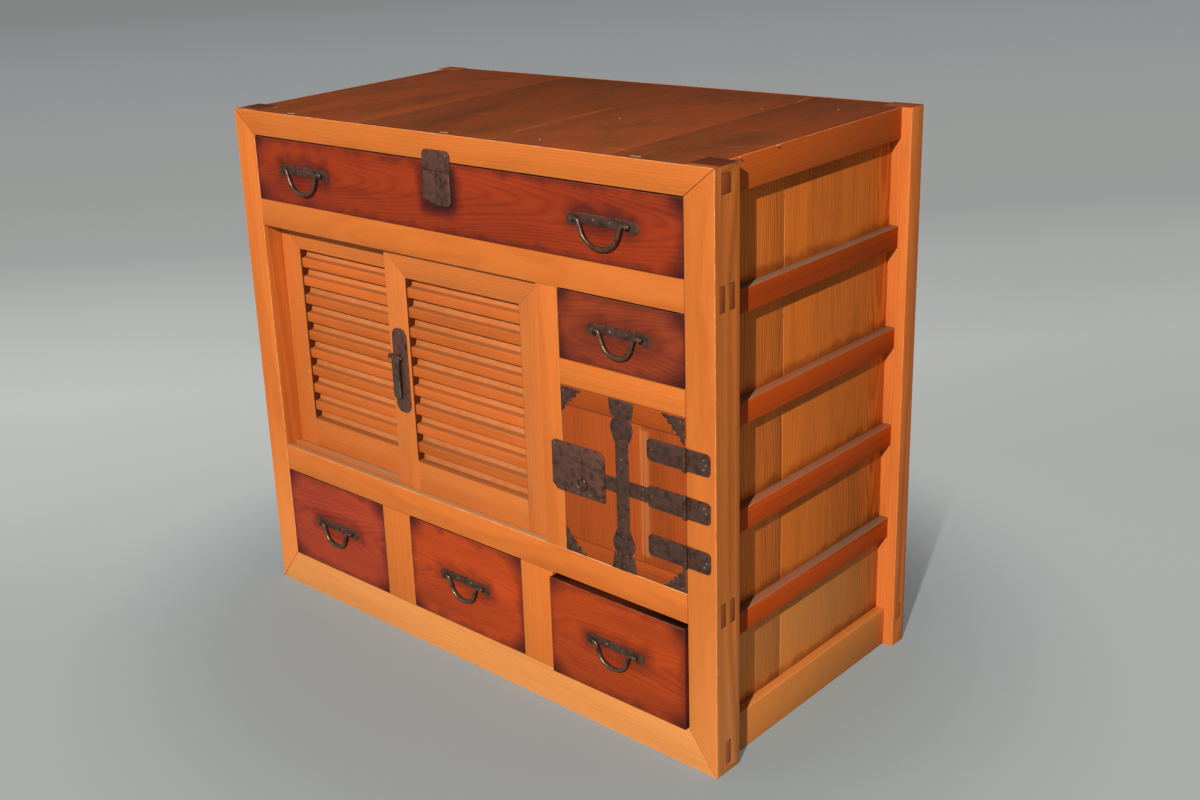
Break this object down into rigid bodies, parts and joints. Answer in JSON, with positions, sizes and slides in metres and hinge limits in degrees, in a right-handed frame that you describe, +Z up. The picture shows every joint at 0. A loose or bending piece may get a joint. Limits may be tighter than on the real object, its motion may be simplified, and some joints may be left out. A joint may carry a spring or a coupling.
{
  "type": "mizuya kitchen cabinet",
  "caption": "Small wooden kitchen cabinet with drawers over and under louvred sliding doors, a hinged door with iron straps, and battened sides.",
  "frame": {"origin": "on the floor, in the middle of the whole footprint, the bails of the slightly open lower right drawer included", "axes": "+X to the right seen from the front, +Y from the front face towards the back, +Z up"},
  "size_m": [0.88, 0.47, 0.781],
  "materials": {
    "frame_wood": "oiled cedar, worn",
    "drawer_front_wood": "lacquered, worn",
    "top_wood": "dark, dusty",
    "panel_wood": "stained softwood boards",
    "batten_wood": "stained softwood",
    "door_wood": "stained softwood",
    "inner_wood": "unfinished softwood",
    "iron": "dark wrought iron"
  },
  "bodies": {
    "cabinet": {"back_boards": "panel_wood", "back_posts": "frame_wood", "back_rails": "inner_wood", "bay_rail": "frame_wood", "bay_stile": "frame_wood", "bottom_board": "inner_wood", "drawer_mullions": "frame_wood", "drawer_runners": "inner_wood", "front_bottom_rail": "frame_wood", "front_left_post": "frame_wood", "front_lower_rail": "frame_wood", "front_right_post": "frame_wood", "front_top_rail": "frame_wood", "front_upper_rail": "frame_wood", "hinge_pins": "iron", "hinge_post_leaves": "iron", "lower_shelf": "inner_wood", "partition_boards": "inner_wood", "side_battens": "batten_wood", "side_boards": "panel_wood", "side_rails": "frame_wood", "small_drawer_shelf": "inner_wood", "top_boards": "top_wood", "top_pegs": "inner_wood", "upper_shelf": "inner_wood"},
    "top_drawer": {"top_drawer_front": "drawer_front_wood", "top_drawer_box": "inner_wood", "top_handle_plate": "iron", "top_drawer_lock": "iron"},
    "small_drawer": {"small_drawer_front": "drawer_front_wood", "small_drawer_box": "inner_wood", "small_handle_plate": "iron"},
    "lower_left_drawer": {"lower_left_drawer_front": "drawer_front_wood", "lower_left_drawer_box": "inner_wood", "lower_left_handle_plate": "iron"},
    "lower_middle_drawer": {"lower_middle_drawer_front": "drawer_front_wood", "lower_middle_drawer_box": "inner_wood", "lower_middle_handle_plate": "iron"},
    "lower_right_drawer": {"lower_right_drawer_front": "drawer_front_wood", "lower_right_drawer_box": "inner_wood", "lower_right_handle_plate": "iron"},
    "top_left_bail": {"top_left_bail": "iron"},
    "top_right_bail": {"top_right_bail": "iron"},
    "small_bail": {"small_bail": "iron"},
    "lower_left_bail": {"lower_left_bail": "iron"},
    "lower_middle_bail": {"lower_middle_bail": "iron"},
    "lower_right_bail": {"lower_right_bail": "iron"},
    "left_sliding_door": {"left_sliding_frame": "door_wood", "left_sliding_slats": "door_wood"},
    "right_sliding_door": {"right_sliding_frame": "door_wood", "right_sliding_slats": "door_wood", "latch_plate": "iron", "latch_pin": "iron"},
    "latch_bar": {"latch_bar": "iron"},
    "hinged_door": {"hinged_door_boards": "door_wood", "hinge_door_leaves": "iron", "door_cross_straps": "iron", "door_corner_irons": "iron", "door_lock_plate": "iron"},
    "ring_pull": {"door_ring_pull": "iron"}
  },
  "joints": [
    {"name": "top_drawer_slide", "type": "slide", "parent": "cabinet", "child": "top_drawer", "axis": [0, -1, 0], "range_m": [0, 0.29]},
    {"name": "small_drawer_slide", "type": "slide", "parent": "cabinet", "child": "small_drawer", "axis": [0, -1, 0], "range_m": [0, 0.29]},
    {"name": "lower_left_drawer_slide", "type": "slide", "parent": "cabinet", "child": "lower_left_drawer", "axis": [0, -1, 0], "range_m": [0, 0.29]},
    {"name": "lower_middle_drawer_slide", "type": "slide", "parent": "cabinet", "child": "lower_middle_drawer", "axis": [0, -1, 0], "range_m": [0, 0.29]},
    {"name": "lower_right_drawer_slide", "type": "slide", "parent": "cabinet", "child": "lower_right_drawer", "axis": [0, -1, 0], "range_m": [-0.0065, 0.28]},
    {"name": "top_left_bail_swing", "type": "hinge", "parent": "top_drawer", "child": "top_left_bail", "pos_m": [-0.285, -0.22445, 0.7005], "axis": [-1, 0, 0], "range_deg": [0, 165]},
    {"name": "top_right_bail_swing", "type": "hinge", "parent": "top_drawer", "child": "top_right_bail", "pos_m": [0.277, -0.22445, 0.7005], "axis": [-1, 0, 0], "range_deg": [0, 165]},
    {"name": "small_bail_swing", "type": "hinge", "parent": "small_drawer", "child": "small_bail", "pos_m": [0.298, -0.22445, 0.5645], "axis": [-1, 0, 0], "range_deg": [0, 165]},
    {"name": "lower_left_bail_swing", "type": "hinge", "parent": "lower_left_drawer", "child": "lower_left_bail", "pos_m": [-0.284, -0.22445, 0.1345], "axis": [-1, 0, 0], "range_deg": [0, 165]},
    {"name": "lower_middle_bail_swing", "type": "hinge", "parent": "lower_middle_drawer", "child": "lower_middle_bail", "pos_m": [0, -0.22445, 0.1345], "axis": [-1, 0, 0], "range_deg": [0, 165]},
    {"name": "lower_right_bail_swing", "type": "hinge", "parent": "lower_right_drawer", "child": "lower_right_bail", "pos_m": [0.284, -0.23145, 0.1345], "axis": [-1, 0, 0], "range_deg": [0, 165]},
    {"name": "left_sliding_door_slide", "type": "slide", "parent": "cabinet", "child": "left_sliding_door", "axis": [1, 0, 0], "range_m": [0, 0.259]},
    {"name": "right_sliding_door_slide", "type": "slide", "parent": "cabinet", "child": "right_sliding_door", "axis": [-1, 0, 0], "range_m": [0, 0.259]},
    {"name": "latch_bar_swing", "type": "hinge", "parent": "right_sliding_door", "child": "latch_bar", "pos_m": [-0.1238, -0.21245, 0.448], "axis": [-1, 0, 0], "range_deg": [0, 90]},
    {"name": "hinged_door_swing", "type": "hinge", "parent": "cabinet", "child": "hinged_door", "pos_m": [0.3966, -0.22115, 0.363], "axis": [0, 0, 1], "range_deg": [0, 170]},
    {"name": "ring_pull_swing", "type": "hinge", "parent": "hinged_door", "child": "ring_pull", "pos_m": [0.234, -0.22325, 0.359], "axis": [-1, 0, 0], "range_deg": [0, 90]}
  ]
}
